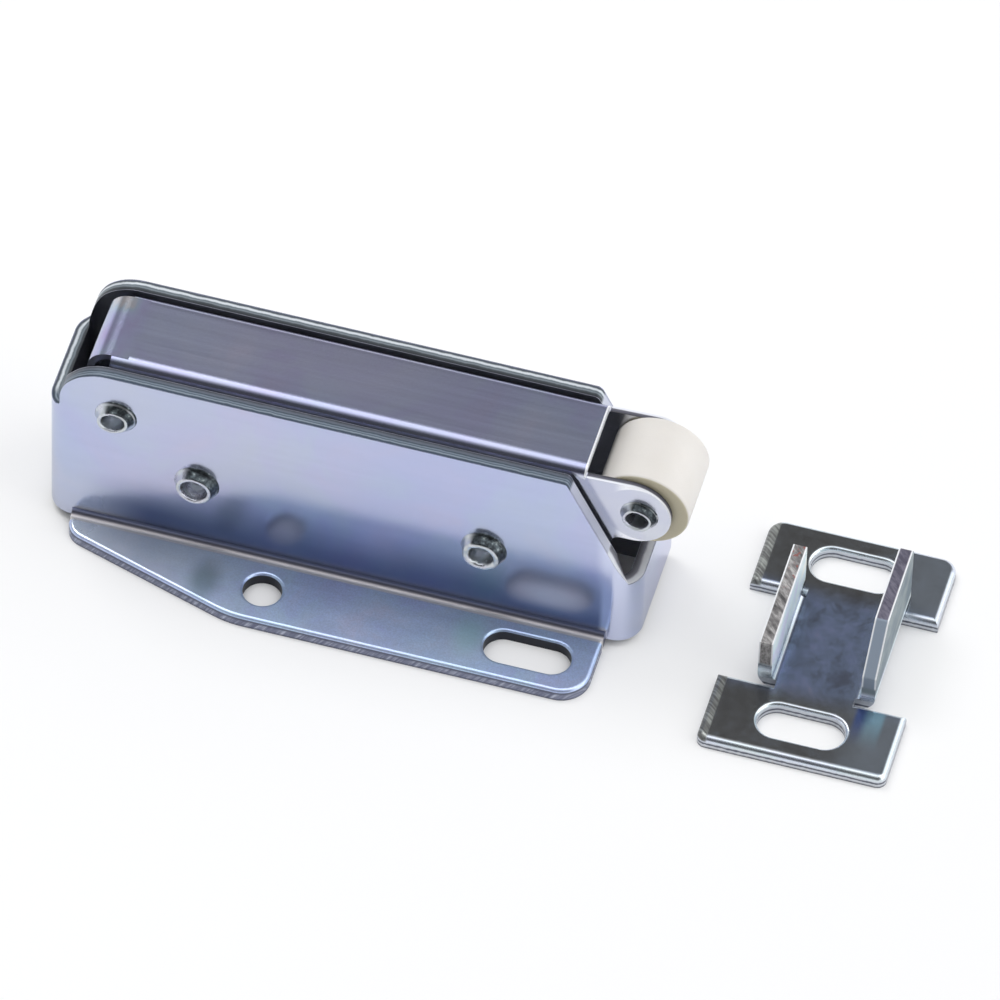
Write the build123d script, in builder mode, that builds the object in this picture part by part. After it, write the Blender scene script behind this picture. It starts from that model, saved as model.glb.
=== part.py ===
from build123d import *

import os
from math import asin, atan2, cos, degrees, hypot, radians, sin, sqrt

# Spring catch: a sprung roller lever in a folded steel case, with its keeper.
# Millimetres, +Z up. The underside of the case lies on z = 0.
# The origin is the centre of the round fixing hole, on the underside.
# Sizes below are measured from the rear face, the middle and the underside of the case.

# Case, one folded sheet
case_length = 85.5
case_width = 18.4
case_height = 32.5
case_sheet = 2.0
corner_bend = 3.8          # outside radius of the three upright bends
end_lift = 1.5             # rear and front walls above the mounting surface
rear_wall_drop = 9.1       # from the top of the side walls
front_wall_drop = 19.1
shoulder_radius = 7.0      # rear top corners of the side walls
shoulder_root = 1.2        # inside corner between rear wall and shoulder
slope_start = 10.9         # front of the side walls' tops, back from the front face
slope_end = 1.6
slope_round = 1.0
seam_gap = 0.3             # between the front wall and the far wall's end

# Fixing flange, folded out of the near wall
flange_start = 4.0
flange_end_gap = 4.5       # from the flange's end to the front face
flange_reach = 11.4        # beyond the near wall
flange_bend = 1.0          # radius inside the fold
flange_nose = 3.4          # length of the short edge at the rear end
flange_taper = 25.8        # length of the slanting edge along the case
nose_round = 3.0
taper_round = 15.0
flange_corner = 4.2
edge_roll = 0.6            # rounding that the punch leaves on an edge
rim_roll = 0.45            # and round the hole and the slot

# Fixing hole and slot in the flange
hole_from_rear = 33.3
hole_from_wall = 5.8
hole_radius = 2.75
slot_from_front = 14.0
slot_length = 12.5
slot_width = 5.6

# Rivets and their sleeves, across the case
pivot_x = 10.3
pivot_drop = 7.7           # below the top of the side walls
spring_x = 22.0
spring_drop = 18.1
stop_set_back = 21.2       # behind the roller's axis
stop_drop = 17.7
rivet_radius = 2.5
rivet_fit = 0.05
rivet_bore = 1.75
rivet_bore_depth = 5.0
rivet_rim = 0.3            # radius of the rolled rim
rivet_base = 3.0           # radius where the rolled end meets the wall
rivet_stand = 1.15         # from the wall to the middle of the rolled rim
head_radius = 4.3
head_edge = 0.3
head_dome = 1.2
sleeve_wall = 0.85

# Lever, one folded sheet
lever_rise = 0.6           # web above the case's side walls
lever_sheet = 1.0
lever_side_gap = 0.5
lever_bend = 0.8           # radius inside the long bends
rear_bend = 2.4            # radius inside the rear bend
lever_rear_gap = 3.0       # behind the lever's rear flange
rear_flange_height = 11.1
rear_flange_gap = 0.2      # beside the rear flange
side_set_in = 0.2          # rear edge of the sides behind the rear flange's face
notch_past_bend = 0.1      # corner reliefs, in front of the rear bend
notch_height = 4.1
shallow_end = 13.3         # back from the stop to where the sides deepen
deep_start = 8.3
deep_land = 1.9            # metal below the stop slot
deep_front = 6.3           # back from the roller's axis
neck_front = 3.6
ear_radius = 5.65
ear_set_back = 1.2         # its middle behind the roller's axis
ear_top_slope = 2.5        # degrees
stop_clearance = 0.3
running_fit = 0.05
rest_clearance = 0.5       # between moving parts and the case
front_clearance = 1.0      # between the roller, swung down, and the front wall

# Roller and its pin
roller_set_back = 1.0      # axis behind the case's front face
roller_drop = 5.85         # below the top of the side walls
roller_radius = 6.75
roller_side_gap = 0.15
roller_round = 0.4
web_gap = 1.1              # between the lever's web and the roller
pin_radius = 2.2
pin_bore = 1.6
pin_base = 2.7             # radius where the rolled end meets the ear
pin_stand = 0.95           # from the ear to the middle of the rolled rim
pin_rim = 0.25

# Torsion spring
wire_radius = 0.7
coil_gap = 0.2             # between coil and sleeve
coil_side_gap = 0.6        # between coil and lever
turn_gap = 0.06
spring_seat_gap = 0.15
upper_leg_start = 46.0     # where the upper leg turns level under the web
upper_leg_flat = 6.0
lower_leg_past = 4.0       # beyond the stop's axis
leg_round = 3.0

# Keeper, one folded sheet, lying in front of the catch
keeper_gap = 12.2          # from the case's front face
keeper_aside = -2.2        # its middle from the case's middle
keeper_width = 27.0
keeper_length = 41.0
keeper_sheet = 2.0
near_plate = 12.0
far_plate = 12.0
plate_round_near = 1.3
plate_round_far = 2.3
waist_from_edge = 5.4
lug_gap_fit = 0.35         # each side of the roller between the lugs
lug_bend = 0.8             # radius inside the folds
lug_relief = 0.8           # notch between the plates and the folded lugs
low_lug_height = 9.5
high_lug_height = 13.0
ramp_start_height = 7.0
low_lug_overhang = 2.0     # lugs' length over the far plate
high_lug_overhang = 3.3
lug_round = 1.0
overhang_gap = 0.2
keeper_slot_from_end = 6.0
keeper_slot_length = 12.5
keeper_slot_width = 5.8
keeper_edge_roll = 1.0
keeper_rim_roll = 0.6

# Worked out from the sizes above
rear_wall_height = case_height - rear_wall_drop
front_wall_height = case_height - front_wall_drop
pivot_z = case_height - pivot_drop
spring_z = case_height - spring_drop
stop_z = case_height - stop_drop
roller_z = case_height - roller_drop
roller_x = case_length - roller_set_back
stop_x = roller_x - stop_set_back
inner_half = case_width / 2 - case_sheet
outer_half = case_width / 2
flange_y = -outer_half - flange_reach
fold_y = -outer_half - flange_bend
fold_radius = case_sheet + flange_bend
origin_x = hole_from_rear
origin_y = -outer_half - hole_from_wall
flange_end = case_length - flange_end_gap
sleeve_radius = rivet_radius + rivet_fit + sleeve_wall
lever_half = inner_half - lever_side_gap
lever_inner_half = lever_half - lever_sheet
web_top = case_height + lever_rise
web_under = web_top - lever_sheet
bend_outside = lever_bend + lever_sheet
lever_rear = case_sheet + lever_rear_gap
side_rear = lever_rear + side_set_in
notch_x = lever_rear + rear_bend + lever_sheet + notch_past_bend
notch_z = web_top - notch_height
side_top = web_top - bend_outside - lever_bend
strip_half = lever_inner_half - rear_flange_gap
web_front = roller_x - roller_radius - web_gap
roller_half = lever_inner_half - roller_side_gap
slot_radius = sleeve_radius + stop_clearance
deep_bottom = stop_z - slot_radius - deep_land
coil_radius = sleeve_radius + coil_gap + wire_radius

# The lever swings until its roller nearly meets the front wall
roller_travel = roller_z - roller_radius - front_wall_height - front_clearance
roller_arm = hypot(roller_x - pivot_x, roller_z - pivot_z)
swing = degrees(
    asin((roller_z - pivot_z) / roller_arm)
    - asin((roller_z - pivot_z - roller_travel) / roller_arm)
)
sleeve_dip = (spring_x - pivot_x) * sin(radians(swing))
shallow_bottom = spring_z + sleeve_radius + sleeve_dip + rest_clearance

# The cut along the sloping edge runs on round the front bend until it meets the front wall's top
wall_slope = (case_height - front_wall_height) / (slope_start - slope_end)
bend_x = case_length - corner_bend
bend_y = corner_bend - outer_half
slope_at_bend = case_height - wall_slope * (bend_x - case_length + slope_start)
slope_turn = degrees(asin((corner_bend - slope_end) / corner_bend))
far_wall_end = case_length - case_sheet - seam_gap


def level_plane(z):
    """Sketch x runs to the front, sketch y to the far side."""
    return Plane(origin=(-origin_x, -origin_y, z), x_dir=(1, 0, 0), z_dir=(0, 0, 1))


def side_plane(y):
    """Sketch x runs to the front, sketch y up; it extrudes towards the near side."""
    return Plane(origin=(-origin_x, y - origin_y, 0), x_dir=(1, 0, 0), z_dir=(0, -1, 0))


def cross_plane(x, z=0.0):
    """Sketch x runs to the far side, sketch y up; it extrudes towards the front."""
    return Plane(origin=(x - origin_x, -origin_y, z), x_dir=(0, 1, 0), z_dir=(1, 0, 0))


def bend_plane(turn):
    """Sketch x runs out from the middle of the front bend, sketch y up."""
    outward = (sin(radians(turn)), -cos(radians(turn)), 0)
    across = (-cos(radians(turn)), -sin(radians(turn)), 0)
    return Plane(origin=(bend_x - origin_x, bend_y - origin_y, 0), x_dir=outward, z_dir=across)


def pin_axis(x, z):
    return Axis((x - origin_x, -origin_y, z), (0, 1, 0))


os.makedirs("parts", exist_ok=True)

# Case: the flange with its rolled edges, and the fold that joins it to the near wall
nose_y = -outer_half - flange_nose
with BuildPart() as flange:
    with BuildSketch(level_plane(0)):
        with BuildLine():
            FilletPolyline(
                (flange_start, fold_y),
                (flange_start, nose_y),
                (flange_start + flange_taper, flange_y),
                (flange_end, flange_y),
                (flange_end, fold_y),
                radius=[0, nose_round, taper_round, flange_corner, 0],
                close=True,
            )
        make_face()
        with Locations((hole_from_rear, -outer_half - hole_from_wall)):
            Circle(hole_radius, mode=Mode.SUBTRACT)
        with Locations((case_length - slot_from_front, -outer_half - hole_from_wall)):
            SlotOverall(slot_length, slot_width, mode=Mode.SUBTRACT)
    extrude(amount=case_sheet)
    top_face = flange.faces().sort_by(Axis.Z)[-1]
    fold_edge = top_face.edges().sort_by(Axis.Y)[-1]
    fillet([edge for edge in top_face.outer_wire().edges() if edge != fold_edge], edge_roll)
    top_face = flange.faces().sort_by(Axis.Z)[-1]
    fillet(top_face.inner_wires().edges(), rim_roll)

    with BuildSketch(cross_plane(flange_start)):
        with Locations((fold_y, fold_radius)):
            Circle(fold_radius)
            Circle(flange_bend, mode=Mode.SUBTRACT)
            Rectangle(
                fold_radius,
                fold_radius,
                align=(Align.MIN, Align.MAX),
                mode=Mode.INTERSECT,
            )
    extrude(amount=flange_end - flange_start)
flange.part.label = "flange"
export_step(flange.part, "parts/flange.step")

# The case's walls. They are one sheet with the flange, and meet it and each other face to face.
with BuildSketch(side_plane(0)) as side_outline:
    with BuildLine():
        FilletPolyline(
            (0, 0),
            (0, rear_wall_height),
            (case_sheet, rear_wall_height),
            (case_sheet, case_height),
            (case_length - slope_start, case_height),
            (case_length - slope_end, front_wall_height),
            (case_length - slope_end, 0),
            radius=[0, 0, shoulder_root, shoulder_radius, slope_round, 0, 0],
            close=True,
        )
    make_face()

with BuildPart() as near_wall:
    with BuildSketch(level_plane(fold_radius)):
        with Locations((flange_start, -outer_half)):
            Rectangle(flange_end - flange_start, case_sheet, align=(Align.MIN, Align.MIN))
    extrude(amount=case_height)
    extrude(side_outline.sketch, amount=case_width, both=True, mode=Mode.INTERSECT)
    with BuildSketch(side_plane(0)):
        with Locations((pivot_x, pivot_z), (spring_x, spring_z), (stop_x, stop_z)):
            Circle(rivet_radius + rivet_fit)
    extrude(amount=case_width, mode=Mode.SUBTRACT)
near_wall.part.label = "near_wall"
export_step(near_wall.part, "parts/near_wall.step")

with BuildPart() as far_wall:
    with BuildSketch(level_plane(0)):
        with Locations((flange_start, inner_half)):
            Rectangle(far_wall_end - flange_start, case_sheet, align=(Align.MIN, Align.MIN))
    extrude(amount=case_height)
    extrude(side_outline.sketch, amount=case_width, both=True, mode=Mode.INTERSECT)
    with BuildSketch(side_plane(0)):
        with Locations((pivot_x, pivot_z), (spring_x, spring_z), (stop_x, stop_z)):
            Circle(rivet_radius + rivet_fit)
    extrude(amount=-case_width, mode=Mode.SUBTRACT)
far_wall.part.label = "far_wall"
export_step(far_wall.part, "parts/far_wall.step")

with BuildPart() as rear_wall:
    with BuildSketch(level_plane(end_lift)):
        with BuildLine():
            FilletPolyline(
                (flange_start, outer_half),
                (0, outer_half),
                (0, -outer_half),
                (flange_start, -outer_half),
                (flange_start, -inner_half),
                (case_sheet, -inner_half),
                (case_sheet, inner_half),
                (flange_start, inner_half),
                radius=[
                    0,
                    corner_bend,
                    corner_bend,
                    0,
                    0,
                    corner_bend - case_sheet,
                    corner_bend - case_sheet,
                    0,
                ],
                close=True,
            )
        make_face()
    extrude(amount=case_height)
    extrude(side_outline.sketch, amount=case_width, both=True, mode=Mode.INTERSECT)
rear_wall.part.label = "rear_wall"
export_step(rear_wall.part, "parts/rear_wall.step")

with BuildPart() as front_wall:
    with BuildSketch(level_plane(end_lift)):
        with BuildLine():
            FilletPolyline(
                (flange_end, -outer_half),
                (case_length, -outer_half),
                (case_length, outer_half),
                (case_length - case_sheet, outer_half),
                (case_length - case_sheet, -inner_half),
                (flange_end, -inner_half),
                radius=[0, corner_bend, 0, 0, corner_bend - case_sheet, 0],
                close=True,
            )
        make_face()
    extrude(amount=case_height - end_lift)
    with BuildSketch(side_plane(0)):
        with BuildLine():
            Polyline(
                (case_length - slope_start, case_height),
                (bend_x, slope_at_bend),
                (bend_x, 2 * case_height),
                (case_length - slope_start, 2 * case_height),
                close=True,
            )
        make_face()
    extrude(amount=case_width, mode=Mode.SUBTRACT)
    with BuildSketch(bend_plane(0)):
        with Locations((case_sheet / 2, slope_at_bend)):
            Rectangle(2 * corner_bend, case_height, align=(Align.MIN, Align.MIN))
    with BuildSketch(bend_plane(slope_turn)):
        with Locations((case_sheet / 2, front_wall_height)):
            Rectangle(2 * corner_bend, case_height, align=(Align.MIN, Align.MIN))
    loft(ruled=True, mode=Mode.SUBTRACT)
    with BuildSketch(level_plane(front_wall_height)):
        with BuildLine():
            Polyline(
                (bend_x, bend_y),
                (
                    bend_x + case_length * sin(radians(slope_turn)),
                    bend_y - case_length * cos(radians(slope_turn)),
                ),
                (2 * case_length, bend_y),
                (2 * case_length, case_width),
                (bend_x, case_width),
                close=True,
            )
        make_face()
    extrude(amount=case_height, mode=Mode.SUBTRACT)
front_wall.part.label = "front_wall"
export_step(front_wall.part, "parts/front_wall.step")

# Lever: flat sides cut to their outline, the bent web, and the strip folded down at the rear
ear_tilt = radians(ear_top_slope)
ear_x = roller_x - ear_set_back
ear_touch = (ear_x - ear_radius * sin(ear_tilt), roller_z + ear_radius * cos(ear_tilt))
ear_rise = (ear_touch[0] - web_front) * sin(ear_tilt) / cos(ear_tilt)
ear_foot = roller_z - ear_radius
strip_front = notch_x + rear_bend
stop_arm = hypot(stop_x - pivot_x, stop_z - pivot_z)
stop_angle = degrees(atan2(stop_z - pivot_z, stop_x - pivot_x))
with BuildPart() as lever:
    with BuildSketch(side_plane(-lever_half)):
        with BuildLine():
            FilletPolyline(
                (notch_x, side_top),
                (notch_x, notch_z),
                (side_rear, notch_z),
                (side_rear, shallow_bottom),
                (stop_x - shallow_end, shallow_bottom),
                (stop_x - deep_start, deep_bottom),
                (roller_x - deep_front, deep_bottom),
                (roller_x - neck_front, ear_foot),
                (ear_x, ear_foot),
                (ear_x, roller_z),
                ear_touch,
                (web_front, ear_touch[1] - ear_rise),
                (web_front, side_top),
                radius=[0, 0.8, 2.0, 3.0, 3.0, 3.0, 2.0, 1.5, 0, 0, 0, 0, 0],
                close=True,
            )
        make_face()
        with Locations((ear_x, roller_z)):
            Circle(ear_radius)
    extrude(amount=-lever_sheet)
    mirror(about=Plane(origin=(0, -origin_y, 0), z_dir=(0, 1, 0)))
    with BuildSketch(cross_plane(notch_x)):
        with BuildLine():
            FilletPolyline(
                (-lever_half, side_top),
                (-lever_half, web_top),
                (lever_half, web_top),
                (lever_half, side_top),
                (lever_inner_half, side_top),
                (lever_inner_half, web_under),
                (-lever_inner_half, web_under),
                (-lever_inner_half, side_top),
                radius=[0, bend_outside, bend_outside, 0, 0, lever_bend, lever_bend, 0],
                close=True,
            )
        make_face()
    extrude(amount=web_front - notch_x)
    with BuildSketch(side_plane(0)):
        with BuildLine():
            FilletPolyline(
                (strip_front, web_top),
                (lever_rear, web_top),
                (lever_rear, web_top - rear_flange_height),
                (lever_rear + lever_sheet, web_top - rear_flange_height),
                (lever_rear + lever_sheet, web_under),
                (strip_front, web_under),
                radius=[0, rear_bend + lever_sheet, 0, 0, rear_bend, 0],
                close=True,
            )
        make_face()
    extrude(amount=strip_half, both=True)
    with BuildSketch(side_plane(0)):
        with Locations((pivot_x, pivot_z)):
            Circle(sleeve_radius + running_fit)
        with Locations((roller_x, roller_z)):
            Circle(pin_radius + running_fit)
        with BuildLine(mode=Mode.PRIVATE) as stop_path:
            CenterArc((pivot_x, pivot_z), stop_arm, stop_angle, swing)
        SlotArc(stop_path.edge(), 2 * slot_radius)
    extrude(amount=case_width, both=True, mode=Mode.SUBTRACT)
lever.part.label = "lever"
export_step(lever.part, "parts/lever.step")

# Roller
with BuildPart() as roller:
    with BuildSketch(side_plane(0)):
        with Locations((roller_x, roller_z)):
            Circle(roller_radius)
            Circle(pin_radius + running_fit, mode=Mode.SUBTRACT)
    extrude(amount=roller_half, both=True)
    fillet(roller.edges().filter_by(GeomType.CIRCLE).sort_by(SortBy.RADIUS)[-2:], roller_round)
roller.part.label = "roller"
export_step(roller.part, "parts/roller.step")

# Roller pin, a tube rolled over outside both ears
pin_crest = lever_half + pin_stand
with BuildPart() as roller_pin:
    with BuildSketch(cross_plane(roller_x, roller_z)):
        with BuildLine():
            Polyline((0, pin_bore), (pin_crest, pin_bore))
            ThreePointArc(
                (pin_crest, pin_bore),
                (pin_crest + pin_rim, pin_bore + pin_rim),
                (pin_crest, pin_bore + 2 * pin_rim),
            )
            Polyline(
                (pin_crest, pin_bore + 2 * pin_rim),
                (lever_half, pin_base),
                (lever_half, pin_radius),
                (0, pin_radius),
                (0, pin_bore),
            )
        make_face()
    revolve(axis=pin_axis(roller_x, roller_z))
    mirror(about=Plane(origin=(0, -origin_y, 0), z_dir=(0, 1, 0)))
roller_pin.part.label = "roller_pin"
export_step(roller_pin.part, "parts/roller_pin.step")

# Three rivets with a domed head on the far side and a rolled end on the near side
rivet_crest = outer_half + rivet_stand
dome_radius = (head_radius**2 + head_dome**2) / (2 * head_dome)
dome_middle = sqrt(dome_radius**2 - (head_radius / 2) ** 2) - dome_radius + head_dome
rivets = (
    ("pivot_rivet", "pivot_sleeve", pivot_x, pivot_z),
    ("spring_rivet", "spring_sleeve", spring_x, spring_z),
    ("stop_rivet", "stop_sleeve", stop_x, stop_z),
)
for rivet_name, sleeve_name, x, z in rivets:
    with BuildPart() as rivet:
        with BuildSketch(cross_plane(x, z)):
            with BuildLine():
                Polyline(
                    (outer_half + head_edge + head_dome, 0),
                    (rivet_bore_depth - outer_half, 0),
                    (rivet_bore_depth - outer_half, rivet_bore),
                    (-rivet_crest, rivet_bore),
                )
                ThreePointArc(
                    (-rivet_crest, rivet_bore),
                    (-rivet_crest - rivet_rim, rivet_bore + rivet_rim),
                    (-rivet_crest, rivet_bore + 2 * rivet_rim),
                )
                Polyline(
                    (-rivet_crest, rivet_bore + 2 * rivet_rim),
                    (-outer_half, rivet_base),
                    (-outer_half, rivet_radius),
                    (outer_half, rivet_radius),
                    (outer_half, head_radius),
                    (outer_half + head_edge, head_radius),
                )
                ThreePointArc(
                    (outer_half + head_edge, head_radius),
                    (outer_half + head_edge + dome_middle, head_radius / 2),
                    (outer_half + head_edge + head_dome, 0),
                )
            make_face()
        revolve(axis=pin_axis(x, z))
    rivet.part.label = rivet_name
    export_step(rivet.part, f"parts/{rivet_name}.step")

    with BuildPart() as sleeve:
        with BuildSketch(side_plane(0)):
            with Locations((x, z)):
                Circle(sleeve_radius)
                Circle(rivet_radius + rivet_fit, mode=Mode.SUBTRACT)
        extrude(amount=inner_half, both=True)
    sleeve.part.label = sleeve_name
    export_step(sleeve.part, f"parts/{sleeve_name}.step")

# Torsion spring: the lower leg bears on the stop's sleeve, the upper leg on the lever's web
lower_rest_z = stop_z + sleeve_radius + spring_seat_gap + wire_radius
upper_rest_z = web_under - spring_seat_gap - wire_radius


def leg_tilt(x, z, side):
    """Angle of a leg through (x, z) that leaves the coil below (1) or above (-1)."""
    reach = hypot(x - spring_x, z - spring_z)
    return atan2(z - spring_z, x - spring_x) + side * asin(coil_radius / reach)


lower_tilt = leg_tilt(stop_x, lower_rest_z, 1)
upper_tilt = leg_tilt(upper_leg_start, upper_rest_z, -1)
turn_pitch = 2 * wire_radius + turn_gap
part_turn = (180 - degrees(upper_tilt - lower_tilt)) / 360
coil_room = 2 * (lever_inner_half - coil_side_gap - wire_radius)
turns = int(coil_room / turn_pitch - part_turn) + part_turn
coil_length = turns * turn_pitch
near_end = -coil_length / 2
coil_start = Plane(
    origin=(spring_x - origin_x, near_end - origin_y, spring_z),
    x_dir=(sin(lower_tilt), 0, -cos(lower_tilt)),
    z_dir=(0, 1, 0),
)
coil = coil_start.location * Edge.make_helix(turn_pitch, coil_length, coil_radius)
lower_run = stop_x - spring_x + lower_leg_past
upper_corner = Vector(upper_leg_start - origin_x, -near_end - origin_y, upper_rest_z)
with BuildPart() as torsion_spring:
    with BuildLine() as wire_path:
        Line(coil @ 0 + lower_run * Vector(cos(lower_tilt), 0, sin(lower_tilt)), coil @ 0)
        add(coil)
        FilletPolyline(
            coil @ 1,
            upper_corner,
            upper_corner + Vector(upper_leg_flat, 0, 0),
            radius=leg_round,
        )
    with BuildSketch(Plane(origin=wire_path.wire() @ 0, z_dir=wire_path.wire() % 0)):
        Circle(wire_radius)
    sweep(path=wire_path.wire(), transition=Transition.TRANSFORMED)
torsion_spring.part.label = "torsion_spring"
export_step(torsion_spring.part, "parts/torsion_spring.step")

# Keeper: two slotted plates joined by a waist whose edges fold up into lugs
keeper_x = case_length + keeper_gap
keeper_y = keeper_aside - keeper_length / 2
low_lug = waist_from_edge
high_lug = low_lug + 2 * keeper_sheet + 2 * (roller_radius - lug_gap_fit)
fold = lug_bend + keeper_sheet
waist_end = keeper_length - far_plate
lug_start = near_plate + lug_relief
lug_end = waist_end - lug_relief
ramp_end = lug_start + high_lug_height - ramp_start_height


def keeper_level(z):
    """Sketch x runs across the keeper, sketch y along it to the far side."""
    corner = (keeper_x - origin_x, keeper_y - origin_y, z)
    return Plane(origin=corner, x_dir=(1, 0, 0), z_dir=(0, 0, 1))


def keeper_section(along):
    """Sketch x runs across the keeper, sketch y up; it extrudes towards the near side."""
    corner = (keeper_x - origin_x, keeper_y - origin_y + along, 0)
    return Plane(origin=corner, x_dir=(1, 0, 0), z_dir=(0, -1, 0))


def keeper_upright(across):
    """Sketch x runs along the keeper, sketch y up; it extrudes away from the catch."""
    corner = (keeper_x - origin_x + across, keeper_y - origin_y, 0)
    return Plane(origin=corner, x_dir=(0, 1, 0), z_dir=(1, 0, 0))


slot_places = [
    (keeper_width / 2, keeper_slot_from_end),
    (keeper_width / 2, keeper_length - keeper_slot_from_end),
]
with BuildPart() as plates:
    with BuildSketch(keeper_level(0)):
        with BuildLine():
            FilletPolyline(
                (0, 0),
                (keeper_width, 0),
                (keeper_width, near_plate),
                (high_lug - fold, near_plate),
                (high_lug - fold, waist_end),
                (keeper_width, waist_end),
                (keeper_width, keeper_length),
                (0, keeper_length),
                (0, waist_end),
                (low_lug + fold, waist_end),
                (low_lug + fold, near_plate),
                (0, near_plate),
                radius=[
                    plate_round_near,
                    plate_round_near,
                    0,
                    0,
                    0,
                    0,
                    plate_round_far,
                    plate_round_far,
                    0,
                    0,
                    0,
                    0,
                ],
                close=True,
            )
        make_face()
        with Locations(*slot_places):
            SlotOverall(keeper_slot_length, keeper_slot_width, mode=Mode.SUBTRACT)
    extrude(amount=keeper_sheet)
    top_face = plates.faces().sort_by(Axis.Z)[-1]
    fold_lines = top_face.edges().filter_by(Axis.Y).filter_by(
        lambda edge: abs(edge.length - waist_end + near_plate) < 0.01
    )
    rim = [edge for edge in top_face.outer_wire().edges() if edge not in fold_lines]
    fillet(rim, keeper_edge_roll)
    top_face = plates.faces().sort_by(Axis.Z)[-1]
    fillet(top_face.inner_wires().edges(), keeper_rim_roll)

with BuildPart() as lugs:
    for outer_face, inward in ((low_lug, 1), (high_lug, -1)):
        with BuildSketch(keeper_section(lug_end)):
            with Locations((outer_face + inward * fold, fold)):
                Circle(fold)
                Circle(lug_bend, mode=Mode.SUBTRACT)
                Rectangle(
                    fold,
                    fold,
                    align=(Align.MAX if inward > 0 else Align.MIN, Align.MAX),
                    mode=Mode.INTERSECT,
                )
        extrude(amount=lug_end - lug_start)
    with BuildSketch(keeper_upright(low_lug)):
        with BuildLine():
            Polyline(
                (lug_start, fold),
                (lug_start, low_lug_height),
                (waist_end + low_lug_overhang, low_lug_height),
                (waist_end + low_lug_overhang, keeper_sheet + overhang_gap),
                (lug_end, keeper_sheet + overhang_gap),
                (lug_end, fold),
                close=True,
            )
        make_face()
    extrude(amount=keeper_sheet)
    with BuildSketch(keeper_upright(high_lug)):
        with BuildLine():
            FilletPolyline(
                (lug_start, fold),
                (lug_start, ramp_start_height),
                (ramp_end, high_lug_height),
                (waist_end + high_lug_overhang, high_lug_height),
                (waist_end + high_lug_overhang, keeper_sheet + overhang_gap),
                (lug_end, keeper_sheet + overhang_gap),
                (lug_end, fold),
                radius=[0, 0.5, 0.8, lug_round, 0, 0, 0],
                close=True,
            )
        make_face()
    extrude(amount=-keeper_sheet)

with BuildPart() as keeper:
    add(plates.part)
    add(lugs.part)
keeper.part.label = "keeper"
export_step(keeper.part, "parts/keeper.step")
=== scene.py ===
import math

import bmesh
import bpy
from mathutils import Matrix, Vector


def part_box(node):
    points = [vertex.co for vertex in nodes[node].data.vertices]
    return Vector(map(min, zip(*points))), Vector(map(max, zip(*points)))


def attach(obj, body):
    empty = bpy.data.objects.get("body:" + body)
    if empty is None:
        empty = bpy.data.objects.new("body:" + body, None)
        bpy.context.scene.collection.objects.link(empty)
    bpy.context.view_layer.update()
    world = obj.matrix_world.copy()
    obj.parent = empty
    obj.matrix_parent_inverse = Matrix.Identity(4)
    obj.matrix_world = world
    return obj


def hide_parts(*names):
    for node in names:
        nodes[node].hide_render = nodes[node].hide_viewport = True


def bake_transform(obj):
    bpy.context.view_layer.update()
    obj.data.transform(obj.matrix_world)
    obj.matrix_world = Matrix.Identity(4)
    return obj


# Spring catch: zinc plated case, sprung roller lever and slotted keeper. Lengths are in metres.
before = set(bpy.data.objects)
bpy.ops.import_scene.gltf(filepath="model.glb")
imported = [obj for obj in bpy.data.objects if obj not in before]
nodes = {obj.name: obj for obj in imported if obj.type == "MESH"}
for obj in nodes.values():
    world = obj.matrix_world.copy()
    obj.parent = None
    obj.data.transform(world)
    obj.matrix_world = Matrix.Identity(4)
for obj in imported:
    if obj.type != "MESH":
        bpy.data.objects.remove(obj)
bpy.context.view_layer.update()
print("frame loaded")

# Camera, at the photograph's angle
cameraView = {
    "azimuth": 14.13,      # degrees, from straight in front towards the roller's end
    "elevation": 50.5,
    "roll": 2.13,
    "distance": 2.008,
    "lens": 520.8,
    "sensor": 36,
    "clipEnd": 20,
    "aim": (0.0167, 0.015, 0.010),
    "aimRight": 0.01264,   # moves the view along the picture's width
}


def makeCamera(view):
    swing = Matrix.Rotation(math.radians(view["azimuth"]), 4, "Z")
    tilt = Matrix.Rotation(math.radians(90 - view["elevation"]), 4, "X")
    turn = swing @ tilt @ Matrix.Rotation(math.radians(view["roll"]), 4, "Z")
    aim = Vector(view["aim"]) + turn.to_3x3() @ Vector((view["aimRight"], 0, 0))
    place = aim + turn.to_3x3() @ Vector((0, 0, view["distance"]))
    camera = bpy.data.objects.new("camera", bpy.data.cameras.new("camera"))
    camera.data.lens = view["lens"]
    camera.data.sensor_width = view["sensor"]
    camera.data.clip_end = view["clipEnd"]
    camera.matrix_world = Matrix.Translation(place) @ turn
    bpy.context.scene.collection.objects.link(camera)
    bpy.context.scene.camera = camera
    bpy.context.scene.view_settings.view_transform = "Standard"


makeCamera(cameraView)
print("camera placed")


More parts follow.
